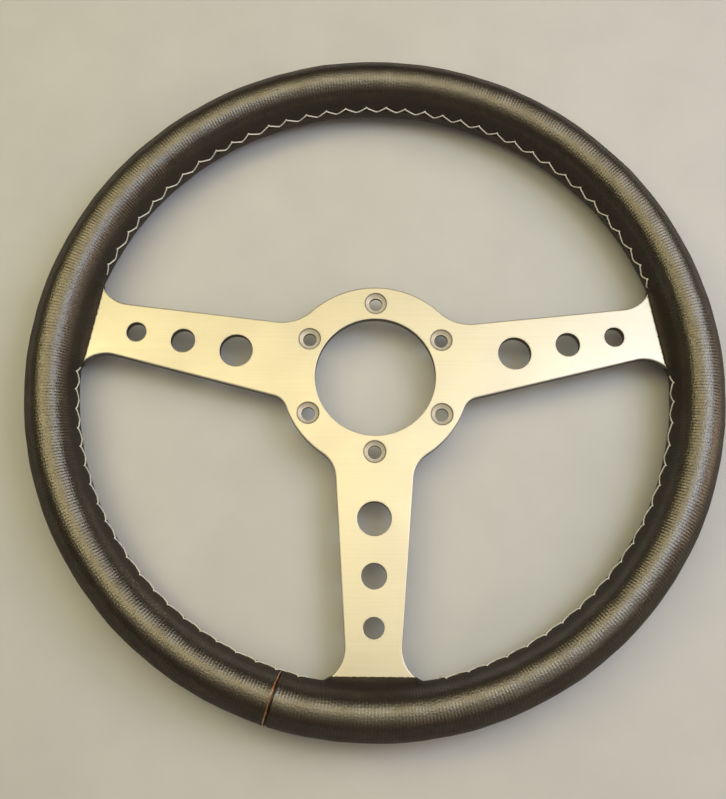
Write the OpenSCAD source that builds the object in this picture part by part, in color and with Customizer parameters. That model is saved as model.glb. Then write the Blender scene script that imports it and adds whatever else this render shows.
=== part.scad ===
// Three-spoke competition steering wheel with a leather-covered rim.
// Frame: origin at the centre of the hub on the flat rear mounting face,
// +Z towards the driver, +Y to twelve o'clock, +X to the driver's right.

/* [Spoke plate] */
// Thickness of the plate
plate_t = 4; // [3:0.5:6]
// Diameter of the hub disc
hub_d = 86; // [84:0.5:92]
// Diameter of the central hole
bore_d = 55; // [50:0.5:56]
// Direction of the two side spokes above horizontal
side_spoke_angle = 10.25; // [5:0.25:20]
// Half width of a spoke 60 mm from the centre
spoke_half_w = 16.5; // [15:0.25:18]
// Taper of each spoke edge in degrees
spoke_taper = 3.9; // [2:0.1:4.5]
// Fillet between the hub and the upper edge of a side spoke
fillet_top = 20; // [12:1:24]
// Fillet between the hub and the lower edge of a side spoke
fillet_side = 8; // [4:1:12]
// Fillet between the hub and the lower spoke
fillet_low = 14; // [8:1:18]
// Fillet where a spoke flares into its foot
fillet_rim = 15; // [10:1:20]

/* [Mounting holes] */
// Pitch circle diameter of the six mounting holes
bolt_pcd = 70; // [68:0.5:74]
// Through diameter of each mounting hole
bolt_hole_d = 6; // [5.5:0.1:6.6]
// Diameter of the 90 degree countersink at the front face
csk_d = 10.2; // [9:0.1:11]

/* [Lightening holes] */
// Diameter of the lightening hole nearest the hub
light_d1 = 15; // [10:0.5:17]
// Diameter of the middle lightening hole
light_d2 = 11; // [8:0.5:13]
// Diameter of the lightening hole nearest the rim
light_d3 = 9; // [6:0.5:10]
// Distance of the first lightening hole from the centre
light_r1 = 65; // [60:1:70]
// Distance of the second lightening hole from the centre
light_r2 = 90; // [86:1:94]
// Distance of the third lightening hole from the centre
light_r3 = 112; // [108:1:116]

/* [Rim] */
// Diameter of the circle through the middle of the grip
rim_mid_d = 294.4; // [290:0.2:298]
// Half width of the grip across its section, along the radius
grip_a = 11.8; // [11:0.1:12.4]
// Half depth of the grip, front to back
grip_b = 15.8; // [14.5:0.1:16.4]
// Radius of the round front and back of the grip section
grip_end_r = 9.6; // [8.6:0.1:10.2]
// Thickness of the leather
leather_t = 1.3; // [1:0.1:1.6]
// Inner radius of the feet of the spokes
foot_r = 138.5; // [138:0.25:140]
// Outer radius of the feet of the spokes
foot_outer_r = 153.5; // [150:0.5:154.5]
// Half of the angle that a foot covers
foot_half_angle = 17; // [15:0.5:20]
// Width of the steel hoop
hoop_w = 11; // [9:0.5:12]
// Thickness of the steel hoop
hoop_t = 4; // [3:0.5:5]
// Diameter of a rivet shank
rivet_d = 4; // [3:0.5:5]
// Diameter of a rivet head
rivet_head_d = 8; // [6:0.5:9]

/* [Leather seams] */
// Height of the sewn seam above the mounting face
seam_z = 3.3; // [2:0.1:5]
// Width of the gap between the sewn leather edges
seam_gap = 0.6; // [0.4:0.1:1]
// Diameter of the sewing thread
thread_d = 0.7; // [0.5:0.1:0.9]
// Number of stitches in the run over the top
top_stitches = 34; // [28:1:38]
// Number of stitches in the run on the right
right_stitches = 19; // [16:1:21]
// Number of stitches in the run on the left
left_stitches = 20; // [16:1:21]
// Height of the zigzag from edge to edge
stitch_h = 4.6; // [3:0.1:5.2]
// Share of each stitch that its longer, falling strand takes
stitch_lean = 0.58; // [0.5:0.01:0.62]
// Distance from the centre to the straight cut edge of the leather on each spoke
collar_r = 132; // [131.5:0.1:133]
// Position of the cross seam, clockwise from twelve o'clock
cross_seam_angle = 196.8; // [194:0.1:200]
// Width of the cross seam
cross_seam_w = 1.2; // [0.8:0.1:1.6]

/* [Hidden] */
$fn = 96;

mid_z = plate_t / 2;
rim_r = rim_mid_d / 2;
hub_r = hub_d / 2;
// Inner radius of the hoop
hoop_r = foot_r + 2;
spokes = [side_spoke_angle, 180 - side_spoke_angle, -90];
// Half width of a spoke's straight edges at the centre, by extending them inwards
w0 = spoke_half_w + 60 * tan(spoke_taper);
function half_w(x) = w0 - x * tan(spoke_taper);
// Centre of a circle of radius r that touches a spoke's upper edge from outside
// and lies at distance d from the wheel's centre, in the spoke's own frame
function touch_d(r) = w0 * cos(spoke_taper) + r;
function touch_s(r, d) = sqrt(d * d - touch_d(r) * touch_d(r));
function touch_c(r, d) =
    [touch_d(r) * sin(spoke_taper) + touch_s(r, d) * cos(spoke_taper),
     touch_d(r) * cos(spoke_taper) - touch_s(r, d) * sin(spoke_taper)];
// Radius of the flatter sides of the grip section, tangent to its round ends
function side_r(a, b, e) = (a * a + (b - e) * (b - e) - e * e) / (2 * (a - e));
// Where the leather surface lies at height z, measured along the radius
function surface_x(a, b, e, z) =
    sqrt(pow(side_r(a, b, e), 2) - pow(z - mid_z, 2)) - (side_r(a, b, e) - a);
thread_r = rim_r - surface_x(grip_a, grip_b, grip_end_r, seam_z) - thread_d / 2 - 0.1;

// Points along an arc from angle a0 to a1 in n steps
function arc_pts(c, r, a0, a1, n) = [for (i = [0:n - 1]) let (t = a0 + (a1 - a0) * i / n)
    c + r * [cos(t), sin(t)]];
// Angle at which the flatter sides meet the round ends
function join_a(a, b, e) = atan2(b - e, side_r(a, b, e) - a);
// Outline of the grip section: two flatter sides and two rounder ends
function oval_pts(a, b, e) = let (s = side_r(a, b, e), j = join_a(a, b, e)) concat(
    arc_pts([a - s, 0], s, -j, j, 6),
    arc_pts([0, b - e], e, j, 180 - j, 8),
    arc_pts([s - a, 0], s, 180 - j, 180 + j, 6),
    arc_pts([0, e - b], e, 180 + j, 360 - j, 8));

// Oval section of the grip, upright, centred on the origin
module oval(a, b, e) {
    polygon(oval_pts(a, b, e));
}

// One side of a spoke from the hub out to the end of its foot; r is its fillet at the hub
function side_pts(r) = let (
    c = touch_c(r, hub_r + r), d = touch_c(fillet_rim, foot_r - fillet_rim),
    down = 270 - spoke_taper, out = atan2(d[1], d[0])) concat(
    arc_pts(c, r, 180 + atan2(c[1], c[0]), down, 10), [c + r * [cos(down), sin(down)]],
    arc_pts(d, fillet_rim, down, 360 + out, 14),
    arc_pts([0, 0], foot_r, out, foot_half_angle, 3),
    [foot_r * [cos(foot_half_angle), sin(foot_half_angle)]]);
function flip(pts) = [for (p = pts) [p[0], -p[1]]];
function backwards(pts) = [for (i = [len(pts) - 1:-1:0]) pts[i]];
function turned(pts, a) = [for (p = pts)
    [p[0] * cos(a) - p[1] * sin(a), p[0] * sin(a) + p[1] * cos(a)]];
// Angle from a spoke's middle to the start of its fillet on the hub
function start_a(r) = let (c = touch_c(r, hub_r + r)) atan2(c[1], c[0]);
// A whole spoke, anticlockwise, then the bare edge of the hub up to the next spoke
function spoke_pts(dir, r_dn, r_up, next_dir, next_r_dn) = concat(
    turned(flip(side_pts(r_dn)), dir),
    arc_pts([0, 0], foot_outer_r, dir - foot_half_angle, dir + foot_half_angle, 14),
    turned(concat([foot_outer_r * [cos(foot_half_angle), sin(foot_half_angle)]],
                  backwards(side_pts(r_up))), dir),
    let (from = dir + start_a(r_up), to = next_dir - start_a(next_r_dn),
         n = ceil((to - from) / 4.5))
        [for (i = [1:n - 1]) hub_r * [cos(from + (to - from) * i / n), sin(from + (to - from) * i / n)]]);

module plate_outline() {
    polygon(concat(
        spoke_pts(side_spoke_angle, fillet_side, fillet_top, 180 - side_spoke_angle, fillet_top),
        spoke_pts(180 - side_spoke_angle, fillet_top, fillet_side, 270, fillet_low),
        spoke_pts(270, fillet_low, fillet_low, 360 + side_spoke_angle, fillet_side)));
}

// The plate before any hole is made in it
module plate_body() {
    linear_extrude(plate_t) plate_outline();
}

// Places children at each rivet position, three to a foot
module at_rivets() {
    for (s = spokes) for (k = [-1, 0, 1])
        rotate(s + k * (foot_half_angle - 5)) translate([hoop_r + hoop_w / 2, 0, 0]) children();
}

module spoke_plate() {
    color([0.86, 0.82, 0.73]) difference() {
        plate_body();
        translate([0, 0, -1]) cylinder(d = bore_d, h = plate_t + 2, $fn = 180);
        for (i = [0:5]) rotate(30 + 60 * i) translate([bolt_pcd / 2, 0, 0]) {
            translate([0, 0, -1]) cylinder(d = bolt_hole_d, h = plate_t + 2, $fn = 48);
            translate([0, 0, plate_t - (csk_d - bolt_hole_d) / 2])
                cylinder(d1 = bolt_hole_d, d2 = csk_d + 2, h = (csk_d + 2 - bolt_hole_d) / 2, $fn = 48);
        }
        for (s = spokes) rotate(s) {
            translate([light_r1, 0, -1]) cylinder(d = light_d1, h = plate_t + 2);
            translate([light_r2, 0, -1]) cylinder(d = light_d2, h = plate_t + 2);
            translate([light_r3, 0, -1]) cylinder(d = light_d3, h = plate_t + 2);
        }
        at_rivets() translate([0, 0, -1]) cylinder(d = rivet_d, h = plate_t + 2, $fn = 32);
    }
}

// Flat steel ring behind the feet of the spokes
module rim_hoop() {
    color([0.45, 0.45, 0.47]) difference() {
        translate([0, 0, -hoop_t]) cylinder(r = hoop_r + hoop_w, h = hoop_t, $fn = 180);
        translate([0, 0, -hoop_t - 1]) cylinder(r = hoop_r, h = hoop_t + 2, $fn = 180);
        at_rivets() translate([0, 0, -hoop_t - 1]) cylinder(d = rivet_d, h = hoop_t + 2, $fn = 32);
    }
}

// One rivet: shank and two low conical heads
module rivet() {
    translate([0, 0, -hoop_t]) cylinder(d = rivet_d, h = hoop_t + plate_t, $fn = 32);
    translate([0, 0, plate_t]) cylinder(d1 = rivet_head_d, d2 = rivet_head_d * 0.55, h = 1.6, $fn = 32);
    translate([0, 0, -hoop_t - 1.6]) cylinder(d1 = rivet_head_d * 0.55, d2 = rivet_head_d, h = 1.6, $fn = 32);
}

module hoop_rivets() {
    color([0.62, 0.62, 0.64]) at_rivets() rivet();
}

// Solid grip shape, shrunk inwards by t
module grip_solid(t) {
    rotate_extrude($fn = 180) translate([rim_r, mid_z])
        oval(grip_a - t, grip_b - t, grip_end_r - t);
}

// Foam moulded round the hoop, the feet and the rivets
module rim_core() {
    color([0.23, 0.22, 0.21]) difference() {
        grip_solid(leather_t);
        plate_body();
        difference() {
            translate([0, 0, -hoop_t]) cylinder(r = hoop_r + hoop_w, h = hoop_t, $fn = 180);
            translate([0, 0, -hoop_t - 1]) cylinder(r = hoop_r, h = hoop_t + 2, $fn = 180);
        }
        at_rivets() rivet();
    }
}

// Half of the leather collar that runs out over a spoke's front face
module collar_half() {
    rotate_extrude(angle = 16.6, $fn = 180) polygon([
        [collar_r, plate_t], [collar_r, plate_t + leather_t],
        [collar_r + 1.5, plate_t + leather_t + 0.8],
        [collar_r + 3, plate_t + leather_t + 2.4],
        [collar_r + 4.4, plate_t + leather_t + 5.2],
        [rim_r - surface_x(grip_a - leather_t, grip_b - leather_t, grip_end_r - leather_t, plate_t + 6.5) - 0.2, plate_t + 6.5],
        [rim_r - grip_a + leather_t - 0.1, plate_t]]);
}

// Leather sewn round the grip: open along the inner seam and at the cross seam
module leather_cover() {
    color([0.17, 0.14, 0.12]) difference() {
        union() {
            difference() {
                grip_solid(0);
                grip_solid(leather_t);
                // the sewn gap, facing the hub
                translate([0, 0, seam_z - seam_gap / 2]) difference() {
                    cylinder(r = rim_r - grip_a + 3, h = seam_gap, $fn = 180);
                    translate([0, 0, -1]) cylinder(r = rim_r - grip_a - 3, h = seam_gap + 2, $fn = 180);
                }
            }
            for (s = spokes) {
                rotate(s - 8.3) collar_half();
                rotate(s - 8.3) translate([0, 0, plate_t]) mirror([0, 0, 1]) collar_half();
            }
        }
        plate_body();
        rotate(90 - cross_seam_angle) translate([rim_r, 0, mid_z])
            cube([2 * grip_a + 10, cross_seam_w, 2 * grip_b + 10], center = true);
    }
}

// One strand of thread that spans the given angle, clockwise; way is -1 as it falls
module strand(from, to, way) {
    run = thread_r * (to - from) * PI / 180;
    rotate(90 - (from + to) / 2) translate([thread_r, 0, seam_z])
        rotate([90 - way * atan2(stitch_h, run), 0, 0])
            cylinder(d = thread_d, h = sqrt(run * run + stitch_h * stitch_h) - 1.4,
                     center = true, $fn = 16);
}

// Zigzag of thread across the seam in n stitches, from one angle to another
// (clockwise from twelve o'clock)
module stitching(from, to, n) {
    step = (to - from) / n;
    color([0.72, 0.71, 0.68]) for (i = [0:n - 1]) {
        strand(from + i * step, from + (i + stitch_lean) * step, -1);
        strand(from + (i + stitch_lean) * step, from + (i + 1) * step, 1);
    }
}

module stitching_top() { stitching(-67.3, 69.3, top_stitches); }
module stitching_right() { stitching(90.8, 166.9, right_stitches); }
module stitching_left() { stitching(193.5, 270.2, left_stitches); }

// Narrow binding that closes the cross seam of the leather
module cross_seam_binding() {
    color([0.62, 0.33, 0.16]) rotate(90 - cross_seam_angle) translate([rim_r, 0, mid_z])
        rotate([90, 0, 0]) difference() {
            linear_extrude(cross_seam_w - 0.1, center = true) difference() {
                oval(grip_a, grip_b, grip_end_r);
                oval(grip_a - leather_t, grip_b - leather_t, grip_end_r - leather_t);
            }
            translate([-grip_a, seam_z - mid_z, 0]) cube([6, stitch_h + 1.6, 4], center = true);
        }
}

spoke_plate();
rim_hoop();
hoop_rivets();
rim_core();
leather_cover();
stitching_top();
stitching_left();
stitching_right();
cross_seam_binding();
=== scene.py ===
import math

import bpy
import numpy as np
from mathutils import Matrix, Vector
from mathutils.geometry import delaunay_2d_cdt


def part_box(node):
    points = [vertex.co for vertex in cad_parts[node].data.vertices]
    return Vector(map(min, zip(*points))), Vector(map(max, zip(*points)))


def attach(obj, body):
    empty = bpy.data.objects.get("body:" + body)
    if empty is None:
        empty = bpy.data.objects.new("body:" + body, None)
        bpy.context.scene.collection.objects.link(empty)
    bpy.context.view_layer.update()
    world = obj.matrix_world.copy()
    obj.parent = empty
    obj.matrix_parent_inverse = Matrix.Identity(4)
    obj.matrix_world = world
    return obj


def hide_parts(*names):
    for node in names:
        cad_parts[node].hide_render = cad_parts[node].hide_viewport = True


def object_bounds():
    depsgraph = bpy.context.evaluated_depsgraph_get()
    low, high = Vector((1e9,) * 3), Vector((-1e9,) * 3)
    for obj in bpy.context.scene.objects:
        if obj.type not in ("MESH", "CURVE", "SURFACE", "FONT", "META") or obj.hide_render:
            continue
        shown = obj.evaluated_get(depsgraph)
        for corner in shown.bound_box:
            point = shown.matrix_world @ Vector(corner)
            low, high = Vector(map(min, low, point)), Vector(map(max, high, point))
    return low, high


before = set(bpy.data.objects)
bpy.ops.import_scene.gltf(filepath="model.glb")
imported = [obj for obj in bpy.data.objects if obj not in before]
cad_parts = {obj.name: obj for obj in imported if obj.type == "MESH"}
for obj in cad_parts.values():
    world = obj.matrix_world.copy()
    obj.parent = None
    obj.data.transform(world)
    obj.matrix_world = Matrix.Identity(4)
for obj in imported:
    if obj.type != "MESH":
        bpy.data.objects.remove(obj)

cad_lo, cad_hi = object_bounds()

# ---------------------------------------------------------------- sizes, in millimetres
plate_lo, plate_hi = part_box("spoke_plate")
Z0, Z1 = plate_lo.z * 1000, plate_hi.z * 1000  # rear and front face of the plate
MID = (Z0 + Z1) / 2
RIM_R = 147.2
A, B, E_R = 11.8, 15.8, 9.6
RHO = (A * A + (B - E_R) ** 2 - E_R * E_R) / (2 * (A - E_R))
JOIN = math.atan2(B - E_R, RHO - A)
L_END = E_R * (math.pi / 2 - JOIN)
QUARTER = L_END + RHO * JOIN
SPOKES = [10.25, 169.75, 270.0]  # anticlockwise from +X
W0 = 16.5 + 60 * math.tan(math.radians(3.9))
TAPER = math.radians(3.9)
HUB_R, FOOT_R, FOOT_OUT, FOOT_A = 43.0, 138.5, 153.5, 17.0
SEAM_Z = 3.3
CROSS = 196.8  # clockwise from twelve o'clock
COLLAR_R = 132.0


def smooth(x, a, b):
    t = np.clip((x - a) / (b - a), 0, 1)
    return t * t * (3 - 2 * t)


# ---------------------------------------------------------------- node helpers
class Mat:
    """A procedural material, with short names for the nodes it uses."""

    def __init__(self, name):
        self.m = bpy.data.materials.new(name)
        self.m.use_nodes = True
        self.t = self.m.node_tree
        self.t.nodes.clear()
        self.out = self.t.nodes.new("ShaderNodeOutputMaterial")
        self.b = self.t.nodes.new("ShaderNodeBsdfPrincipled")
        self.link(self.b.outputs[0], self.out.inputs[0])

    def link(self, a, b):
        self.t.links.new(a, b)

    def put(self, socket, value):
        if isinstance(value, bpy.types.NodeSocket):
            self.link(value, socket)
        elif value is not None:
            socket.default_value = value

    def set(self, **values):
        for k, v in values.items():
            self.put(self.b.inputs[k.replace("_", " ")], v)

    def math(self, op, a, b=None, c=None, clamp=False):
        n = self.t.nodes.new("ShaderNodeMath")
        n.operation = op
        n.use_clamp = clamp
        for i, v in enumerate((a, b, c)):
            self.put(n.inputs[i], v)
        return n.outputs[0]

    def obj(self):
        return self.t.nodes.new("ShaderNodeTexCoord").outputs["Object"]

    def uv(self, name):
        n = self.t.nodes.new("ShaderNodeUVMap")
        n.uv_map = name
        return n.outputs[0]

    def scaled(self, vec, s, rot=(0, 0, 0)):
        n = self.t.nodes.new("ShaderNodeMapping")
        self.link(vec, n.inputs[0])
        n.inputs["Scale"].default_value = s
        n.inputs["Rotation"].default_value = rot
        return n.outputs[0]

    def split(self, vec):
        n = self.t.nodes.new("ShaderNodeSeparateXYZ")
        self.link(vec, n.inputs[0])
        return n.outputs

    def noise(self, vec, scale=1.0, detail=3.0, rough=0.5, dims="3D", distort=0.0):
        n = self.t.nodes.new("ShaderNodeTexNoise")
        n.noise_dimensions = dims
        self.link(vec, n.inputs["Vector"])
        n.inputs["Scale"].default_value = scale
        n.inputs["Detail"].default_value = detail
        n.inputs["Roughness"].default_value = rough
        n.inputs["Distortion"].default_value = distort
        return n.outputs[0]

    def voronoi(self, vec, scale=1.0, feature="F1", rand=1.0, dims="3D"):
        n = self.t.nodes.new("ShaderNodeTexVoronoi")
        n.voronoi_dimensions = dims
        n.feature = feature
        self.link(vec, n.inputs["Vector"])
        n.inputs["Scale"].default_value = scale
        n.inputs["Randomness"].default_value = rand
        return n.outputs["Distance"]

    def span(self, v, a, b, lo, hi, clamp=True):
        n = self.t.nodes.new("ShaderNodeMapRange")
        n.clamp = clamp
        self.link(v, n.inputs[0])
        for i, x in enumerate((a, b, lo, hi)):
            n.inputs[i + 1].default_value = x
        return n.outputs[0]

    def mix(self, f, a, b, how="MIX"):
        n = self.t.nodes.new("ShaderNodeMix")
        n.data_type = "RGBA"
        n.blend_type = how
        self.put(n.inputs["Factor"], f)
        self.put(n.inputs[6], a)
        self.put(n.inputs[7], b)
        return n.outputs[2]

    def ramp(self, f, *stops):
        n = self.t.nodes.new("ShaderNodeValToRGB")
        self.link(f, n.inputs[0])
        while len(n.color_ramp.elements) < len(stops):
            n.color_ramp.elements.new(0.5)
        for el, (p, c) in zip(n.color_ramp.elements, stops):
            el.position = p
            el.color = c
        return n.outputs[0]

    def bump(self, height, strength, distance, normal=None):
        n = self.t.nodes.new("ShaderNodeBump")
        n.inputs["Strength"].default_value = strength
        n.inputs["Distance"].default_value = distance
        self.link(height, n.inputs["Height"])
        if normal is not None:
            self.link(normal, n.inputs["Normal"])
        return n.outputs[0]


def rgb(r, g, b):
    return (r, g, b, 1.0)


# ---------------------------------------------------------------- materials
def metal_material():
    """Fine brushed, clear anodised aluminium."""
    k = Mat("brushed_aluminium")
    p = k.obj()
    x, y, z = k.split(p)
    lines = k.noise(k.scaled(p, (14, 1400, 300)), 1.0, 4, 0.6)
    fine = k.noise(k.scaled(p, (40, 4200, 900)), 1.0, 3, 0.6)
    broad = k.noise(k.scaled(p, (18, 30, 30)), 1.0, 3, 0.55)
    tone = k.math("ADD", k.math("MULTIPLY", lines, 0.6), k.math("MULTIPLY", broad, 0.4))
    col = k.ramp(tone, (0.3, rgb(0.50, 0.485, 0.445)), (0.55, rgb(0.56, 0.545, 0.505)), (0.8, rgb(0.61, 0.595, 0.555)))
    # the cut walls of the holes and edges are rougher than the faces; their colour is darkened with painted shade
    _, _, nz = k.split(k.t.nodes.new("ShaderNodeTexCoord").outputs["Normal"])
    nz = k.math("ABSOLUTE", nz)
    wall = k.span(nz, 0.15, 0.55, 1.0, 0.0)
    # painted highlight: rounded edges and countersink cones get a much brighter base colour, and are also rougher
    edge = k.math("MULTIPLY", k.span(nz, 0.50, 0.68, 0.0, 1.0), k.span(nz, 0.90, 0.975, 1.0, 0.0))
    col = k.mix(edge, col, rgb(0.93, 0.91, 0.87))
    # painted shade: darkens the colour of the cut walls
    col = k.mix(wall, col, rgb(0.12, 0.11, 0.095))
    # each screw hole, on both faces: a painted shade ring at the countersink's mouth and a painted highlight ring
    # round the hole, which is also a little rougher
    turn = k.math("ARCTAN2", y, x)
    turn = k.math("SUBTRACT", k.math("WRAP", turn, math.pi / 3, 0.0), math.pi / 6)
    far = k.math("SQRT", k.math("ADD", k.math("MULTIPLY", x, x), k.math("MULTIPLY", y, y)))
    dx = k.math("SUBTRACT", k.math("MULTIPLY", far, k.math("COSINE", turn)), 0.035)
    dy = k.math("MULTIPLY", far, k.math("SINE", turn))
    away = k.math("SQRT", k.math("ADD", k.math("MULTIPLY", dx, dx), k.math("MULTIPLY", dy, dy)))
    mouth_shade_ring = k.span(k.math("ABSOLUTE", k.math("SUBTRACT", away, 0.00495)), 0.00018, 0.00034, 1.0, 0.0)
    inner = k.span(k.math("ABSOLUTE", k.math("SUBTRACT", away, 0.00345)), 0.00015, 0.00040, 1.0, 0.0)
    # painted shade ring at the countersink's mouth
    col = k.mix(k.math("MULTIPLY", mouth_shade_ring, 0.70), col, rgb(0.10, 0.09, 0.075))
    # painted highlight ring round the hole
    col = k.mix(k.math("MULTIPLY", inner, 0.60), col, rgb(0.98, 0.96, 0.93))
    # handling marks: a few long faint scratches
    scr = k.noise(k.scaled(p, (9, 900, 200), (0, 0, 0.32)), 1.0, 2, 0.5)
    scr = k.span(scr, 0.70, 0.74, 0.0, 1.0)
    smear = k.span(k.noise(p, 26, 4, 0.6), 0.35, 0.75, -0.03, 0.05)
    r = k.math("ADD", k.span(lines, 0.25, 0.75, 0.33, 0.45), smear)
    r = k.math("SUBTRACT", r, k.math("MULTIPLY", scr, 0.06))
    r = k.math("ADD", r, k.math("MULTIPLY", wall, 0.12))
    r = k.math("ADD", r, k.math("MULTIPLY", edge, 0.22))
    r = k.math("ADD", r, k.math("MULTIPLY", inner, 0.10))
    h = k.math("ADD", k.math("MULTIPLY", lines, 0.7), k.math("MULTIPLY", fine, 0.3))
    k.set(Base_Color=col, Metallic=1.0, Roughness=r, Normal=k.bump(h, 0.35, 0.00005))
    return k.m


def leather_material():
    """Dark olive-brown leather with fine transverse ribs."""
    k = Mat("ribbed_leather")
    uv = k.uv("Skin")
    u, v, _ = k.split(uv)
    # slow drift keeps the ribs from being ruled lines
    drift = k.noise(k.scaled(uv, (60, 60, 1)), 1.0, 2, 0.5, "2D")
    uu = k.math("ADD", u, k.math("MULTIPLY", k.math("SUBTRACT", drift, 0.5), 0.0009))
    rib = k.math("SINE", k.math("MULTIPLY", uu, 2 * math.pi / 0.0014))
    vv = k.math("ADD", v, k.math("MULTIPLY", k.math("SUBTRACT", drift, 0.5), 0.0012))
    row = k.math("SINE", k.math("MULTIPLY", vv, 2 * math.pi / 0.00125))
    grain = k.noise(k.scaled(uv, (900, 1100, 1)), 1.0, 3, 0.6, "2D")
    pores = k.voronoi(k.scaled(uv, (1500, 1500, 1)), 1.0, "F1", 1.0, "2D")
    patch = k.noise(k.scaled(uv, (90, 150, 1)), 1.0, 5, 0.62, "2D")
    worn = k.span(patch, 0.32, 0.66, 0.35, 1.0)
    ribs = k.math("MULTIPLY", k.math("ADD", rib, k.math("MULTIPLY", row, 0.14)), worn)
    h = k.math("ADD", k.math("MULTIPLY", ribs, 0.27), k.math("MULTIPLY", grain, 0.95))
    h = k.math("ADD", h, k.math("MULTIPLY", pores, 0.25))
    tone = k.math("ADD", k.math("MULTIPLY", patch, 0.55), k.math("MULTIPLY", grain, 0.25))
    tone = k.math("ADD", tone, k.math("MULTIPLY", rib, 0.07))
    col = k.ramp(tone, (0.22, rgb(0.006, 0.004, 0.002)), (0.42, rgb(0.013, 0.009, 0.005)), (0.62, rgb(0.032, 0.023, 0.013)))
    # small pale scuffs low on the left, where the rim has been set down
    box = k.math("MULTIPLY", k.span(k.math("ABSOLUTE", k.math("SUBTRACT", u, 0.0700)), 0.020, 0.014, 0.0, 1.0),
                 k.span(k.math("ABSOLUTE", k.math("ADD", v, 0.0102)), 0.0034, 0.0012, 0.0, 1.0))
    fleck = k.noise(k.scaled(uv, (700, 1500, 1), (0, 0, 0.5)), 1.0, 3, 0.6, "2D")
    scuff = k.math("MULTIPLY", box, k.span(fleck, 0.60, 0.68, 0.0, 0.75))
    col = k.mix(scuff, col, rgb(0.22, 0.19, 0.14))
    r = k.math("ADD", k.span(patch, 0.3, 0.75, 0.34, 0.26), k.span(grain, 0.3, 0.7, 0.05, -0.03))
    r = k.math("ADD", r, k.math("MULTIPLY", scuff, 0.25))
    # hands have polished the front of the grip; its sides are duller
    side = k.span(k.math("ABSOLUTE", k.math("ADD", v, 0.0025)), 0.0055, 0.0135, 0.0, 1.0)
    r = k.math("ADD", r, k.math("MULTIPLY", side, 0.42))
    polish = k.span(k.math("ABSOLUTE", k.math("ADD", v, 0.0025)), 0.0045, 0.0105, 0.88, 0.0)
    polish = k.math("MULTIPLY", polish, k.span(patch, 0.30, 0.60, 0.80, 1.0))
    # painted shade: the inner side of the grip round the seam, away from the collars, is darkened to near black in its
    # colour
    x, y, _ = k.split(k.obj())
    radius = k.math("SQRT", k.math("ADD", k.math("MULTIPLY", x, x), k.math("MULTIPLY", y, y)))
    seam_wall_shade = k.math("MULTIPLY", k.span(v, -0.0145, -0.0110, 0.85, 0.0), k.span(radius, 0.1336, 0.1350, 0.0, 1.0))
    col = k.mix(seam_wall_shade, col, rgb(0.003, 0.0025, 0.002))
    skin = k.bump(h, 1.0, 0.00015)
    k.set(
        Base_Color=col, Metallic=0.0, Roughness=r, IOR=1.65, Specular_IOR_Level=0.5,
        Coat_Weight=polish, Coat_Roughness=0.29, Coat_IOR=2.0, Specular_Tint=rgb(1.0, 0.90, 0.80),
        Normal=skin, Coat_Normal=skin,
    )
    return k.m


def thread_material():
    k = Mat("waxed_thread")
    uv = k.uv("Skin")
    p = k.obj()
    twist = k.noise(k.scaled(uv, (1800, 6000, 1)), 1.0, 3, 0.6, "2D")
    dirt = k.noise(p, 70, 3, 0.6)
    col = k.ramp(k.math("ADD", k.math("MULTIPLY", twist, 0.5), k.math("MULTIPLY", dirt, 0.5)),
                 (0.28, rgb(0.60, 0.60, 0.60)), (0.5, rgb(0.84, 0.85, 0.86)), (0.72, rgb(0.93, 0.94, 0.95)))
    k.set(Base_Color=col, Roughness=k.span(twist, 0.3, 0.7, 0.5, 0.75), Sheen_Weight=0.25, Sheen_Roughness=0.4,
          Normal=k.bump(twist, 0.6, 0.00006))
    return k.m


def binding_material():
    """Raw tan edge of the leather."""
    k = Mat("raw_leather_edge")
    p = k.obj()
    fibre = k.noise(k.scaled(p, (2500, 900, 2500)), 1.0, 4, 0.65)
    spot = k.noise(p, 260, 3, 0.6)
    col = k.ramp(k.math("ADD", k.math("MULTIPLY", fibre, 0.5), k.math("MULTIPLY", spot, 0.5)),
                 (0.30, rgb(0.06, 0.022, 0.009)), (0.5, rgb(0.36, 0.14, 0.055)), (0.68, rgb(0.80, 0.50, 0.30)))
    k.set(Base_Color=col, Roughness=k.span(fibre, 0.3, 0.7, 0.22, 0.45), IOR=1.7, Normal=k.bump(fibre, 0.7, 0.00008))
    return k.m


def steel_material():
    k = Mat("rolled_steel")
    p = k.obj()
    n = k.noise(k.scaled(p, (300, 300, 40)), 1.0, 5, 0.6)
    col = k.ramp(n, (0.3, rgb(0.24, 0.24, 0.25)), (0.7, rgb(0.46, 0.46, 0.47)))
    k.set(Base_Color=col, Metallic=1.0, Roughness=k.span(n, 0.3, 0.7, 0.35, 0.6), Normal=k.bump(n, 0.4, 0.0001))
    return k.m


def rivet_material():
    k = Mat("set_rivet")
    p = k.obj()
    n = k.noise(p, 500, 4, 0.6)
    col = k.ramp(n, (0.3, rgb(0.58, 0.58, 0.59)), (0.7, rgb(0.78, 0.78, 0.79)))
    k.set(Base_Color=col, Metallic=1.0, Roughness=k.span(n, 0.3, 0.7, 0.28, 0.45), Normal=k.bump(n, 0.4, 0.0001))
    return k.m


def foam_material():
    k = Mat("moulded_foam")
    p = k.obj()
    c = k.voronoi(p, 1200)
    n = k.noise(p, 180, 4, 0.6)
    col = k.ramp(n, (0.3, rgb(0.012, 0.011, 0.010)), (0.7, rgb(0.035, 0.032, 0.030)))
    k.set(Base_Color=col, Roughness=k.span(n, 0.3, 0.7, 0.75, 0.9), Normal=k.bump(c, 0.5, 0.0002))
    return k.m


def floor_material():
    k = Mat("pale_floor")
    p = k.obj()
    n = k.noise(p, 30, 4, 0.55)
    col = k.ramp(n, (0.3, rgb(0.60, 0.63, 0.70)), (0.7, rgb(0.64, 0.67, 0.74)))
    k.set(Base_Color=col, Roughness=0.85, Specular_IOR_Level=0.2, Normal=k.bump(n, 0.05, 0.0005))
    return k.m


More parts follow.
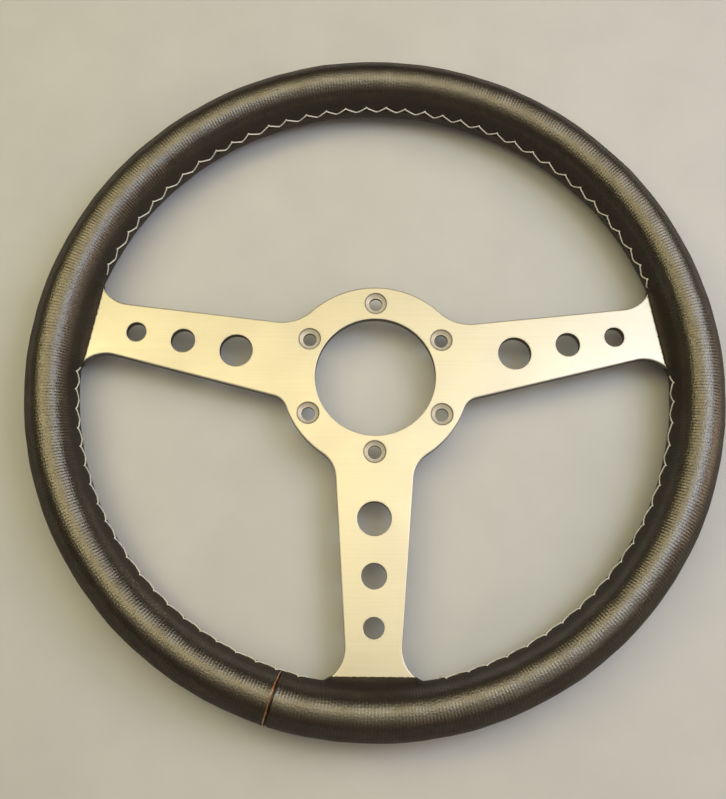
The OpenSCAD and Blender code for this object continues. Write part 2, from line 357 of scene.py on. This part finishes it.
# ---------------------------------------------------------------- mesh helpers
def make_mesh(name, verts, faces, material, normals=None, uv=None):
    """verts in millimetres; faces as lists of indices; uv as one (u, v) in metres per face corner."""
    me = bpy.data.meshes.new(name)
    co = np.asarray(verts, float) * 0.001
    me.from_pydata(co.tolist(), [], faces)
    me.update()
    me.shade_smooth()
    if uv is not None:
        layer = me.uv_layers.new(name="Skin")
        layer.data.foreach_set("uv", np.asarray(uv, np.float32).ravel())
    if normals is not None:
        me.normals_split_custom_set_from_vertices(np.asarray(normals, float).tolist())
    me.materials.append(material)
    ob = bpy.data.objects.new(name, me)
    bpy.context.scene.collection.objects.link(ob)
    return ob


# ---------------------------------------------------------------- spoke plate
def touch_c(r, d):
    td = W0 * math.cos(TAPER) + r
    ts = math.sqrt(d * d - td * td)
    return np.array([td * math.sin(TAPER) + ts * math.cos(TAPER), td * math.cos(TAPER) - ts * math.sin(TAPER)])


def arc(c, r, a0, a1, step):
    n = max(2, int(math.ceil(abs(math.radians(a1 - a0)) * r / step)))
    t = np.radians(np.linspace(a0, a1, n + 1))
    return np.stack([c[0] + r * np.cos(t), c[1] + r * np.sin(t)], 1)


def line(p, q, step):
    n = max(1, int(math.ceil(np.linalg.norm(q - p) / step)))
    return p + (q - p) * np.linspace(0, 1, n + 1)[:, None]


def side_points(r, step):
    """Upper side of a spoke along +X, from the hub out to the end of the foot."""
    c, d = touch_c(r, HUB_R + r), touch_c(15.0, FOOT_R - 15.0)
    down = 270 - 3.9
    out = math.degrees(math.atan2(d[1], d[0]))
    a = arc(c, r, 180 + math.degrees(math.atan2(c[1], c[0])), down, step)
    b = arc(d, 15.0, down, 360 + out, step * 0.6)
    e = arc((0, 0), FOOT_R, out, FOOT_A, step * 2)
    return np.vstack([a[:-1], line(a[-1], b[0], step)[:-1], b[:-1], e])


def outline(step=0.9):
    def turn(p, a):
        a = math.radians(a)
        return p @ np.array([[math.cos(a), math.sin(a)], [-math.sin(a), math.cos(a)]])

    def start(r):
        c = touch_c(r, HUB_R + r)
        return math.degrees(math.atan2(c[1], c[0]))

    pts = []
    plan = [(10.25, 8, 20, 169.75, 20), (169.75, 20, 8, 270, 14), (270, 14, 14, 370.25, 8)]
    for dirn, dn, up, nxt, nxt_dn in plan:
        low = side_points(dn, step) * [1, -1]
        pts.append(turn(low, dirn)[:-1])
        pts.append(arc((0, 0), FOOT_OUT, dirn - FOOT_A, dirn + FOOT_A, step * 2)[:-1])
        pts.append(turn(side_points(up, step)[::-1], dirn)[:-1])
        pts.append(arc((0, 0), HUB_R, dirn + start(up), nxt - start(nxt_dn), step)[:-1])
    p = np.vstack(pts)
    keep = np.linalg.norm(p - np.roll(p, 1, 0), axis=1) > 1e-4
    return p[keep]


def loop_normals(p, sharp=0.6):
    """Unit normals to the right of a closed loop's direction: outwards if it runs anticlockwise."""
    a, b = p - np.roll(p, 1, 0), np.roll(p, -1, 0) - p
    a /= np.linalg.norm(a, axis=1)[:, None]
    b /= np.linalg.norm(b, axis=1)[:, None]
    t = a + b
    t /= np.linalg.norm(t, axis=1)[:, None]
    return np.stack([t[:, 1], -t[:, 0]], 1)


def rounded_profile(r_front, r_rear, support=0.45, steps=5):
    """(inset, z, outward part of the normal, upward part of the normal), from the front face over the edge to the rear face."""
    prof = [(r_front + support, Z1, 0, 1)]
    for i in range(steps + 1):
        t = math.pi / 2 * i / steps
        prof.append((r_front * (1 - math.sin(t)), Z1 - r_front * (1 - math.cos(t)), math.sin(t), math.cos(t)))
    for i in range(steps + 1):
        t = math.pi / 2 * i / steps
        prof.append((r_rear * (1 - math.cos(t)), Z0 + r_rear * (1 - math.sin(t)), math.cos(t), -math.sin(t)))
    prof.append((r_rear + support, Z0, 0, -1))
    return prof


def csk_profile(r_top, r_hole, support=0.3):
    """Countersunk hole as insets from the circle of radius r_hole."""
    big = r_top - r_hole
    k = 0.12
    s = math.sqrt(0.5)
    prof = [(big + k + support, Z1, 0, 1), (big + k, Z1, 0, 1), (big + k * 0.42, Z1 - k * 0.09, 0.38, 0.92), (big, Z1 - k * 0.35, s, s)]
    depth = Z1 - big
    prof += [(0.16, depth + 0.16 - k * 0.35, s, s), (0.05, depth - 0.02, 0.92, 0.38), (0, depth - 0.2, 1, 0)]
    prof += [(0, Z0 + 0.25, 1, 0), (0.07, Z0 + 0.07, s, -s), (0.25, Z0, 0, -1), (0.25 + support, Z0, 0, -1)]
    return prof


def circle_loop(cx, cy, r, n):
    """Clockwise, so that the normals point into the hole."""
    t = -np.linspace(0, 2 * math.pi, n, endpoint=False)
    return np.stack([cx + r * np.cos(t), cy + r * np.sin(t)], 1)


def build_plate(material):
    rims = [(outline(), rounded_profile(0.75, 0.35))]
    rims.append((circle_loop(0, 0, 27.5, 300), rounded_profile(0.45, 0.3)))
    for i in range(6):
        a = math.radians(30 + 60 * i)
        rims.append((circle_loop(35 * math.cos(a), 35 * math.sin(a), 3.0, 96), csk_profile(5.1, 3.0)))
    for s in SPOKES:
        a = math.radians(s)
        for d, r in ((15, 65), (11, 90), (9, 112)):
            rims.append((circle_loop(r * math.cos(a), r * math.sin(a), d / 2, 120), rounded_profile(0.4, 0.25, 0.35, 4)))
    verts, normals, faces = [], [], []
    tops, bottoms = [], []
    for p, prof in rims:
        nrm = loop_normals(p)
        n, base = len(p), len(verts)
        for inset, z, out, up in prof:
            q = p - nrm * inset
            verts += [(x, y, z) for x, y in q]
            normals += [(out * a, out * b, up) for a, b in nrm]
        for k in range(len(prof) - 1):
            for i in range(n):
                j = (i + 1) % n
                a, b = base + k * n, base + (k + 1) * n
                faces.append((a + i, b + i, b + j, a + j))
        tops.append(list(range(base, base + n)))
        bottoms.append(list(range(base + (len(prof) - 1) * n, base + len(prof) * n)))

    def cap(loops, up):
        ids = [i for lp in loops for i in lp]
        holes = []
        for lp in loops[1:]:
            q = np.array([verts[i][:2] for i in lp])
            c = q.mean(0)
            holes.append((c[0], c[1], np.linalg.norm(q - c, axis=1).mean() - 0.05))
        pts = [Vector(verts[i][:2]) for i in ids]
        edges, k = [], 0
        for lp in loops:
            edges += [(k + i, k + (i + 1) % len(lp)) for i in range(len(lp))]
            k += len(lp)
        out = delaunay_2d_cdt(pts, edges, [], 1, 1e-7)
        v2, tris, orig = out[0], out[2], out[3]
        back = [ids[o[0]] if o else None for o in orig]
        for t in tris:
            c = (v2[t[0]] + v2[t[1]] + v2[t[2]]) / 3
            if any((c.x - x) ** 2 + (c.y - y) ** 2 < r * r for x, y, r in holes):
                continue
            a, b, d = (v2[i] for i in t)
            ccw = (b.x - a.x) * (d.y - a.y) - (b.y - a.y) * (d.x - a.x) > 0
            f = [back[i] for i in t]
            faces.append(tuple(f if ccw == up else f[::-1]))

    cap(tops, True)
    cap(bottoms, False)
    ob = make_mesh("spoke_plate_brushed", verts, faces, material, normals)
    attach(ob, "root")
    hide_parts("spoke_plate")
    return ob


# ---------------------------------------------------------------- leather
def oval_point(s):
    """Point of the grip section s millimetres round from its front, outwards first: (x, z, nx, nz)."""
    s = np.asarray(s, float)
    full = 4 * QUARTER
    s = (s + full / 2) % full - full / 2  # -half..half
    sg = np.where(s < 0, -1.0, 1.0)
    t = np.abs(s)
    lower = t > QUARTER
    t = np.where(lower, 2 * QUARTER - t, t)
    t = np.clip(t, 0, QUARTER)
    on_end = t < L_END
    al = JOIN - (t - L_END) / RHO
    ph = t / E_R
    nx = np.where(on_end, np.sin(ph), np.cos(al))
    nz = np.where(on_end, np.cos(ph), np.sin(al))
    x = np.where(on_end, E_R * np.sin(ph), A - RHO + RHO * np.cos(al))
    z = np.where(on_end, B - E_R + E_R * np.cos(ph), RHO * np.sin(al))
    return sg * x, MID + np.where(lower, -z, z), sg * nx, np.where(lower, -nz, nz)


S_SEAM = QUARTER - RHO * math.asin((SEAM_Z - MID) / RHO)  # from the front to the seam, inwards
S_F, S_B = -S_SEAM, 4 * QUARTER - S_SEAM  # front and rear leather edges
LIP = 1.0  # how far from the seam the edge starts to turn in
S_JOIN_F = -(L_END + RHO * (JOIN - math.asin(8.5 / RHO)))  # where a collar leaves the grip, front
S_JOIN_B = 3 * QUARTER - RHO * math.asin(8.5 / RHO)


def stitch_vertices():
    """Upper hole positions of each run, clockwise from twelve o'clock."""
    top = [-67.3, -63.6, -59.5, -55.9, -51.5, -47.5, -43.2, -39.0, -34.8, -31.1, -27.3, -22.8, -19.0, -14.7, -10.5,
           -6.5, -2.2, 1.9, 5.8, 9.9, 13.7, 17.5, 21.5, 25.5, 29.5, 33.8, 37.8, 42.0, 46.0, 50.0, 54.0, 58.0, 62.3,
           66.1, 69.3]
    right = [90.8, 94.6, 98.8, 103.2, 107.2, 111.2, 115.4, 119.4, 123.5, 127.6, 131.6, 135.6, 139.3, 143.4, 147.2,
             151.2, 155.3, 159.2, 162.7, 166.9]
    left = [193.5, 197.7, 201.5, 205.5, 209.5, 213.0, 216.8, 220.7, 224.3, 228.2, 232.3, 236.5, 240.2, 243.8, 247.8,
            251.6, 255.4, 259.0, 262.8, 266.7, 270.2]
    return top, right, left


def lower_vertices(up):
    """The lower hole after each upper one: the falling strand is the longer one."""
    rs = np.random.RandomState(7 + len(up))
    return [a + (b - a) * (0.575 + rs.uniform(-0.03, 0.03)) for a, b in zip(up[:-1], up[1:])]


RUNS = []
for up in stitch_vertices():
    low = lower_vertices(up)
    low = [up[0] - 1.7] + low + ([up[-1] + 1.2] if up[-1] < 270.3 else [])
    RUNS.append((up, low))
STITCH_UP, STITCH_LOW = 2.0, 1.55


def wrap(d):
    return (d + 180) % 360 - 180


def plate_edge_r(beta):
    """Radius at which a spoke's flare lies at angle beta (degrees) from the spoke's middle."""
    d = touch_c(15.0, FOOT_R - 15.0)
    b = np.radians(beta)
    ud = d[0] * np.cos(b) + d[1] * np.sin(b)
    disc = np.maximum(ud * ud - (d @ d - 225.0), 0)
    return ud + np.sqrt(disc)


def noise1(x, seed, waves):
    """Smooth periodic noise of an angle in degrees: waves is a list of (cycles per turn, amplitude)."""
    rs = np.random.RandomState(seed)
    out = np.zeros_like(x)
    for k, a in waves:
        out += a * np.sin(np.radians(x) * k + rs.uniform(0, 6.283))
    return out


def leather_angles():
    base = np.arange(0, 360, 0.25)
    fine = [base]
    for s in SPOKES:
        mid = (90 - s) % 360
        for side in (-1, 1):
            fine.append(mid + side * np.arange(6.6, 9.2, 0.08))
    fine.append(CROSS + np.arange(-1.6, 1.6, 0.05))
    a = np.unique(np.round(np.concatenate(fine) % 360, 3))
    # drop near doubles
    keep = [a[0]]
    for x in a[1:]:
        if x - keep[-1] > 0.035:
            keep.append(x)
    a = np.array(keep)
    # start at the cross seam so that the pattern breaks there
    k = int(np.argmin(np.abs(a - CROSS)))
    return np.concatenate([a[k:], a[:k] + 360])


def leather_sections(theta):
    """Outer surface and inner surface of the leather for each clockwise angle: arrays (angle, point, [r, z])."""
    n_main = 104
    q = np.linspace(0, 1, n_main)
    # denser towards both lips
    dens = q - 0.055 * np.sin(2 * np.pi * q) * 1.6
    s_main = S_F + LIP + (S_B - S_F - 2 * LIP) * dens
    beta = np.full_like(theta, 1e9)
    for s in SPOKES:
        d = wrap(theta - (90 - s))
        beta = np.where(np.abs(d) < np.abs(beta), d, beta)
    ab = np.abs(beta)
    w = 1 - smooth(ab, 7.3, 8.5)
    edge = plate_edge_r(np.clip(ab, 7.3, 16))
    e = RIM_R - A - (edge - 0.5)
    e = np.where(e > 0.35, e, 0.35 * np.exp((e - 0.35) / 0.35))  # fades out softly
    e = np.where(ab < 16, e, 0)

    x, z, nx, nz = oval_point(s_main)
    r_wall = RIM_R + x
    # bulge round the plate's edge
    fall = 1 - smooth(np.abs(z - MID), 2.2, 8.2)
    fall = np.where(x < 0, fall, 0)
    wall_r = r_wall[None, :] - e[:, None] * fall[None, :]
    wall_z = np.broadcast_to(z[None, :], wall_r.shape).copy()

    # unevenness of the hand-sewn cover
    und = noise1(theta, 3, [(11, 0.05), (17, 0.06), (29, 0.05), (41, 0.035), (67, 0.03), (97, 0.02)])
    und2 = noise1(theta, 5, [(13, 0.05), (23, 0.05), (37, 0.04), (53, 0.03), (83, 0.025)])
    ph = (s_main / (4 * QUARTER)) * 2 * np.pi
    swell = und[:, None] * np.cos(ph)[None, :] + und2[:, None] * np.sin(ph)[None, :]
    quiet = (1 - 0.85 * w)[:, None] * np.ones_like(s_main)[None, :]
    inner_side = np.clip((s_main - S_JOIN_F) / 6, 0, 1) * np.clip((S_JOIN_B - s_main) / 6, 0, 1)
    swell *= np.where(quiet > 0.9, 1, inner_side[None, :] * 0.9 + 0.1)

    # pull of the stitches
    zrel = z - SEAM_Z
    near = x < 0
    pull = np.zeros_like(wall_r)
    arc_mm = math.radians(1) * (RIM_R - A)
    for ups, lows in RUNS:
        for group, zo in ((ups, STITCH_UP), (lows, -STITCH_LOW)):
            g = np.array(group)
            for a in g:
                d = wrap(theta - a) * arc_mm
                m = np.abs(d) < 4
                if not m.any():
                    continue
                r2 = d[m][:, None] ** 2 + ((zrel - zo)[None, :] * 1.0) ** 2
                pull[m] -= np.where(near, 0.34 * np.exp(-r2 / (2 * 0.62**2)) + 0.12 * np.exp(-r2 / (2 * 1.5**2)), 0)
    sewn = np.zeros_like(theta)
    for ups, lows in RUNS:
        a, b = min(ups[0], lows[0]), max(ups[-1], lows[-1])
        mid, half = (a + b) / 2, (b - a) / 2
        sewn = np.maximum(sewn, 1 - smooth(np.abs(wrap(theta - mid)), half - 0.5, half + 1.0))
    # the turned-in edges stand a little proud between the holes
    ridge = 0.16 * np.exp(-((np.abs(zrel) - 1.1) ** 2) / (2 * 0.7**2))
    pull += sewn[:, None] * np.where(near, ridge, 0)[None, :]
    disp = swell + pull

    # cross seam: a groove, a raised cut edge on its left and a rolled shoulder on its right
    d = wrap(theta - CROSS) * math.radians(1) * RIM_R  # clockwise is to the left at the bottom
    groove = -0.95 * np.exp(-((d + 0.62) ** 2) / (2 * 0.30**2))
    shoulder = 0.16 * np.exp(-((d + 1.75) ** 2) / (2 * 0.6**2))
    lifted = 0.22 * np.exp(-((d - 0.75) ** 2) / (2 * 0.8**2))
    band = np.clip((s_main - (S_F + 3.0)) / 3, 0, 1) * np.clip((S_B - 3.0 - s_main) / 3, 0, 1)
    disp += (groove + shoulder + lifted)[:, None] * (0.25 + 0.75 * band)[None, :]

    wall_r = wall_r + disp * nx[None, :]
    wall_z = wall_z + disp * nz[None, :]

    # collar section
    rl = COLLAR_R / np.cos(np.radians(np.clip(ab, 0, 8.4)))
    ragged = noise1(theta * 1.0, 11, [(211, 0.05), (331, 0.045), (467, 0.035), (797, 0.03)])
    rl = rl + ragged
    t_l = 1.12
    jf, jb = oval_point(S_JOIN_F), oval_point(S_JOIN_B)

    def bez(p0, p1, p2, p3, t):
        t = t[None, :, None]
        return (1 - t) ** 3 * p0 + 3 * (1 - t) ** 2 * t * p1 + 3 * (1 - t) * t * t * p2 + t**3 * p3

    def collar(front):
        sgn = 1 if front else -1
        face = Z1 if front else Z0
        j = jf if front else jb
        p0 = np.stack([rl + 0.42, np.full_like(rl, face + sgn * t_l)], 1)[:, None, :]
        p3 = np.array([RIM_R + j[0], j[1]])[None, None, :]
        # tangent of the grip there, pointing away from the plate
        tx, tz = (j[3] * 1.0, -j[2] * 1.0)
        if sgn * tz < 0:
            tx, tz = -tx, -tz
        p1 = p0 + np.array([1.75, sgn * 0.28])
        p2 = p3 - np.array([tx, tz]) * 2.9
        return p0, p1, p2, p3

    col_r, col_z = wall_r.copy(), wall_z.copy()
    mf = s_main <= S_JOIN_F
    tf = (s_main[mf] - s_main[0]) / (S_JOIN_F - s_main[0])
    cf = bez(*collar(True), tf)
    col_r[:, mf], col_z[:, mf] = cf[..., 0], cf[..., 1]
    mb = s_main >= S_JOIN_B
    tb = (s_main[-1] - s_main[mb]) / (s_main[-1] - S_JOIN_B)
    cb = bez(*collar(False), tb)
    col_r[:, mb], col_z[:, mb] = cb[..., 0], cb[..., 1]

    W = w[:, None]
    main_r, main_z = W * col_r + (1 - W) * wall_r, W * col_z + (1 - W) * wall_z

    # lips: turned in at the seam, cut square on the spokes
    n = len(theta)

    def lip(front):
        sgn = 1 if front else -1
        face = Z1 if front else Z0
        i = 0 if front else -1
        r0, z0 = wall_r[:, i], wall_z[:, i]
        gap = SEAM_Z + sgn * 0.07
        h = (z0 - gap) * sgn  # height left to roll over
        rows_w, rows_c = [], []
        for t in np.radians([72, 54, 36, 18, 0]):
            rows_w.append(np.stack([r0 + h * (1 - math.sin(t)), gap + sgn * h * (1 - math.cos(t))], 1))
        rows_w.append(np.stack([r0 + h + 0.6, np.full(n, gap)], 1))
        c = [(0.22, t_l - 0.06), (0.07, t_l - 0.20), (0.0, t_l - 0.42), (0.02, 0.30), (0.14, 0.06), (1.6, 0.03)]
        for dr, dz in c:
            rows_c.append(np.stack([rl + dr, np.full(n, face + sgn * dz)], 1))
        return [W * b + (1 - W) * a for a, b in zip(rows_w, rows_c)]

    lf, lb = lip(True), lip(False)
    outer = np.stack([main_r, main_z], 2)
    front = np.stack(lf[::-1], 1)
    rear = np.stack(lb, 1)
    outer = np.concatenate([front, outer, rear], 1)
    s_all = np.concatenate([S_F - np.array([1.6, 1.0, 0.7, 0.4, 0.1, -0.3]) * 0.9 + 0.6, s_main,
                            S_B + np.array([-0.3, 0.1, 0.4, 0.7, 1.0, 1.6]) * 0.9 - 0.6])

    # inner surface: the flesh side, against the core
    s_in = s_main[2:-2:3]
    xi, zi, nxi, nzi = oval_point(s_in)
    t_in = 1.22
    inner_wall = np.stack([np.broadcast_to(RIM_R + xi - nxi * t_in, (n, len(s_in))),
                           np.broadcast_to(zi - nzi * t_in, (n, len(s_in)))], 2)
    # never beyond the outer surface's own thickness
    pick = outer[:, 6:-6][:, 2:-2:3]
    nn = np.stack([nxi, nzi], 1)[None, :, :]
    shell = pick - nn * t_in
    in_c = W[:, :, None]
    inner = in_c * shell + (1 - in_c) * inner_wall
    return outer, inner[:, ::-1], s_all, w


def build_leather(material):
    theta = leather_angles()
    outer, inner, s_all, w = leather_sections(theta)
    ring = np.concatenate([outer, inner], 1)
    n, m = ring.shape[:2]
    m_out = outer.shape[1]
    th = np.radians(theta)
    verts = np.stack([ring[..., 0] * np.sin(th)[:, None], ring[..., 0] * np.cos(th)[:, None], ring[..., 1]], 2)
    i = np.arange(n)
    j = np.arange(m)
    ii, jj = np.meshgrid(i, j, indexing="ij")
    i2, j2 = (ii + 1) % n, (jj + 1) % m
    # clockwise angle and front-over-outside order: this winding faces outwards
    f = np.stack([ii * m + jj, i2 * m + jj, i2 * m + j2, ii * m + j2], 2).reshape(-1, 4)
    s_loop = np.concatenate([s_all, np.full(m - m_out, s_all[-1]) - np.arange(m - m_out)])
    u0 = theta - theta[0]
    ua = np.radians(u0) * RIM_R * 0.001
    ub = np.radians(np.append(u0[1:], 360.0)) * RIM_R * 0.001
    va = s_loop * 0.001
    vb = np.append(va[1:], va[-1] - 0.001)
    uu = np.stack([ua[ii], ub[ii], ub[ii], ua[ii]], 2)
    vv = np.stack([va[jj], va[jj], vb[jj], vb[jj]], 2)
    uv = np.stack([uu, vv], 3).reshape(-1, 2)
    ob = make_mesh("rim_leather_cover", verts.reshape(-1, 3), f.tolist(), material, uv=uv)
    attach(ob, "root")
    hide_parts("leather_cover")
    return ob


# ---------------------------------------------------------------- stitches
def tube(points, radii, sides, lobes=0.0, turns_per_mm=0.0):
    """A tube along points (mm), with a twisted lobed section; returns verts, faces, uv."""
    p = np.asarray(points, float)
    t = np.gradient(p, axis=0)
    t /= np.linalg.norm(t, axis=1)[:, None]
    ref = np.array([0, 0, 1.0])
    a = np.cross(t, ref)
    bad = np.linalg.norm(a, axis=1) < 1e-3
    a[bad] = np.cross(t[bad], [1.0, 0, 0])
    a /= np.linalg.norm(a, axis=1)[:, None]
    # keep the frame from flipping
    for k in range(1, len(a)):
        v = a[k - 1] - t[k] * (a[k - 1] @ t[k])
        a[k] = v / np.linalg.norm(v)
    b = np.cross(t, a)
    length = np.concatenate([[0], np.cumsum(np.linalg.norm(np.diff(p, axis=0), axis=1))])
    ang = np.linspace(0, 2 * np.pi, sides, endpoint=False)
    ph = ang[None, :] + length[:, None] * turns_per_mm * 2 * np.pi
    rr = np.asarray(radii)[:, None] * (1 + lobes * np.cos(3 * ph))
    v = p[:, None, :] + rr[..., None] * (a[:, None, :] * np.cos(ang)[None, :, None] + b[:, None, :] * np.sin(ang)[None, :, None])
    n = len(p)
    faces, uv = [], []
    for i in range(n - 1):
        for j in range(sides):
            k = (j + 1) % sides
            faces.append((i * sides + j, i * sides + k, (i + 1) * sides + k, (i + 1) * sides + j))
            u0, u1 = length[i] * 0.001, length[i + 1] * 0.001
            v0, v1 = j / sides * 0.002, (j + 1) / sides * 0.002
            uv += [(u0, v0), (u0, v1), (u1, v1), (u1, v0)]
    return v.reshape(-1, 3), faces, uv


def close_tube(verts, faces, uv, sides, points):
    """Closes both ends with flat fans of triangles to the end points."""
    n = len(verts) // sides
    verts = np.vstack([verts, points[0], points[-1]])
    a, b = n * sides, n * sides + 1
    for j in range(sides):
        k = (j + 1) % sides
        faces.append((a, k, j))
        faces.append((b, (n - 1) * sides + j, (n - 1) * sides + k))
        uv += [(0, 0), (0, 0.0001), (0, 0.0002)] * 2
    return verts, faces, uv


def stitch_path(ups, lows, seed):
    """The thread's centre line: it comes out of each hole, runs proud over the seam and dives into the next."""
    rs = np.random.RandomState(seed)
    seq = []
    for k, a in enumerate(lows):
        seq.append((a, -STITCH_LOW + rs.uniform(-0.15, 0.15), "low"))
        if k < len(ups):
            seq.append((ups[k], STITCH_UP + rs.uniform(-0.15, 0.15), "up"))
    if len(ups) > len(lows):
        pass
    pts = []

    def at(theta, zrel, lift):
        x = RHO * math.cos(math.asin((SEAM_Z + zrel - MID) / RHO)) - (RHO - A)
        r = RIM_R - x - lift
        t = math.radians(theta)
        return [r * math.sin(t), r * math.cos(t), SEAM_Z + zrel]

    for k in range(len(seq) - 1):
        (t0, z0, kind), (t1, z1, _) = seq[k], seq[k + 1]
        falling = kind == "up"
        top = 0.34 if falling else 0.16
        n = 18 if falling else 16
        bow = rs.uniform(-0.10, 0.10)
        for i in range(n):
            f = i / n
            ramp = min(1.0, min(f, 1.0 - f) / 0.12)
            lift = -0.16 + (top + 0.16) * ramp * (2 - ramp)
            tt = t0 + (t1 - t0) * f
            zz = z0 + (z1 - z0) * f + bow * math.sin(math.pi * f) * 0.5
            pts.append(at(tt, zz, lift))
    t1, z1, _ = seq[-1]
    pts.append(at(t1, z1, -0.7))
    return np.array(pts)


def build_stitches(material):
    names = [("top_run_thread", "stitching_top"), ("right_run_thread", "stitching_right"), ("left_run_thread", "stitching_left")]
    out = []
    for (ups, lows), (name, node), seed in zip(RUNS, names, (21, 22, 23)):
        p = stitch_path(ups, lows, seed)
        sides = 12
        v, f, uv = tube(p, np.full(len(p), 0.30), sides, 0.10, 0.7)
        v, f, uv = close_tube(v, f, uv, sides, p)
        ob = make_mesh(name, v, f, material, uv=uv)
        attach(ob, "root")
        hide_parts(node)
        out.append(ob)
    return out


# ---------------------------------------------------------------- cross seam
def build_cross_seam(material):
    s = np.arange(S_F + 3.2, S_B - 3.2, 0.35)
    x, z, nx, nz = oval_point(s)
    rs = np.random.RandomState(4)
    k = len(s)

    def wavy(cycles, amp):
        out = np.zeros(k)
        for c, a in zip(cycles, amp):
            out += a * np.sin(s / s[-1] * 2 * np.pi * c + rs.uniform(0, 6.28))
        return out

    drift = wavy((1.3, 3.1, 7.7, 19), (0.12, 0.10, 0.06, 0.04))
    width = 0.31 + wavy((4.1, 11, 23), (0.06, 0.05, 0.04))
    height = 0.27 + wavy((5, 13, 29), (0.05, 0.04, 0.03))
    taper = np.clip((s - s[0]) / 3.5, 0.12, 1) * np.clip((s[-1] - s) / 3.5, 0.12, 1)
    prof = [(-1.0, -0.9), (-1.0, -0.2), (-0.86, 0.45), (-0.45, 0.86), (0.0, 1.0), (0.5, 0.8), (0.9, 0.35), (1.05, -0.15), (1.05, -0.9)]
    verts = []
    for i in range(k):
        for a, h in prof:
            hh = h * height[i] * taper[i] if h > -0.5 else -0.55
            off = a * width[i] * (0.5 + 0.5 * taper[i]) + drift[i]
            th = math.radians(CROSS) + (off + 0.02) / RIM_R
            r = RIM_R + x[i] + nx[i] * (hh + 0.12)
            zz = z[i] + nz[i] * (hh + 0.12)
            verts.append((r * math.sin(th), r * math.cos(th), zz))
    m = len(prof)
    faces = []
    for i in range(k - 1):
        for j in range(m):
            q = (j + 1) % m
            faces.append((i * m + j, i * m + q, (i + 1) * m + q, (i + 1) * m + j))
    faces.append(tuple(range(m))[::-1])
    faces.append(tuple((k - 1) * m + j for j in range(m)))
    ob = make_mesh("cross_seam_edge", verts, faces, material)
    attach(ob, "root")
    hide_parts("cross_seam_binding")
    return ob


def fix_normals(ob):
    import bmesh
    bm = bmesh.new()
    bm.from_mesh(ob.data)
    bmesh.ops.recalc_face_normals(bm, faces=bm.faces)
    bm.to_mesh(ob.data)
    bm.free()


# ---------------------------------------------------------------- camera, light and floor
def build_camera():
    cam = bpy.data.cameras.new("camera")
    ob = bpy.data.objects.new("camera", cam)
    bpy.context.scene.collection.objects.link(ob)
    rx, ry, rz = -0.244477, 0.004469, -0.0106943
    r = Matrix.Rotation(rz, 3, "Z") @ Matrix.Rotation(ry, 3, "Y") @ Matrix.Rotation(rx, 3, "X")
    m = r.transposed().to_4x4()
    m.translation = Vector((-0.007491, -0.118041, 0.428664 + Z1 * 0.001))
    ob.matrix_world = m
    cam.sensor_fit = "AUTO"
    cam.sensor_width = 36.0
    cam.lens = 974.9126 / 799 * 36.0
    cam.clip_start, cam.clip_end = 0.01, 50
    bpy.context.scene.camera = ob
    return ob


def area(name, at, aim, size, power, colour, size_y=None):
    li = bpy.data.lights.new(name, "AREA")
    li.energy = power
    li.color = colour
    li.shape = "RECTANGLE"
    li.size = size
    li.size_y = size_y or size
    ob = bpy.data.objects.new(name, li)
    bpy.context.scene.collection.objects.link(ob)
    ob.location = at
    ob.rotation_mode = "QUATERNION"
    ob.rotation_quaternion = (Vector(aim) - Vector(at)).to_track_quat("-Z", "Y")
    return ob


def build_stage():
    me = bpy.data.meshes.new("floor")
    z = cad_lo.z - 0.0003
    s = 4.0
    me.from_pydata([(-s, -s, z), (s, -s, z), (s, s, z), (-s, s, z)], [], [(0, 1, 2, 3)])
    me.materials.append(floor_material())
    floor = bpy.data.objects.new("floor", me)
    bpy.context.scene.collection.objects.link(floor)
    world = bpy.data.worlds.new("studio")
    bpy.context.scene.world = world
    world.use_nodes = True
    bg = world.node_tree.nodes["Background"]
    bg.inputs[0].default_value = (1.0, 0.92, 0.8, 1)
    bg.inputs[1].default_value = 0.05
    area("ceiling", (0.0, 0.10, 1.2), (0, 0, 0), 1.7, 5.34, (1.0, 0.86, 0.58))
    area("overhead", (0.0, 0.15, 1.0), (0, 0, 0), 0.6, 2.0, (1.0, 0.84, 0.42))
    area("warm_left", (-0.43, 0.14, 0.65), (0, 0, 0), 0.25, 1.05, (1.0, 0.86, 0.40), 0.40)
    area("white_right", (0.43, 0.08, 0.65), (0, 0, 0), 0.25, 1.60, (0.74, 0.84, 1.0), 0.45)
    area("window_right", (1.2, 0.0, 0.32), (0, 0, 0), 0.4, 3.20, (1.0, 0.74, 0.50), 1.0)
    area("upper_right", (0.60, 0.55, 0.85), (0, 0, 0), 0.45, 1.51, (1.0, 0.88, 0.68))
    area("upper_left", (-0.60, 0.55, 0.85), (0, 0, 0), 0.45, 0.46, (1.0, 0.80, 0.35))
    area("lower_right", (0.60, -0.60, 0.80), (0, 0, 0), 0.45, 0.70, (1.0, 0.86, 0.70))
    area("near_side", (0.0, -1.2, 0.9), (0, 0, 0), 1.2, 0.81, (1.0, 0.72, 0.40), 0.8)


bpy.context.scene.view_settings.view_transform = "Standard"
build_camera()
metal = metal_material()
build_plate(metal)
leather = build_leather(leather_material())
fix_normals(leather)
for st in build_stitches(thread_material()):
    fix_normals(st)
fix_normals(build_cross_seam(binding_material()))
for node, mat in (("rim_hoop", steel_material()), ("hoop_rivets", rivet_material()), ("rim_core", foam_material())):
    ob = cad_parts[node]
    ob.data.materials.clear()
    ob.data.materials.append(mat)
build_stage()
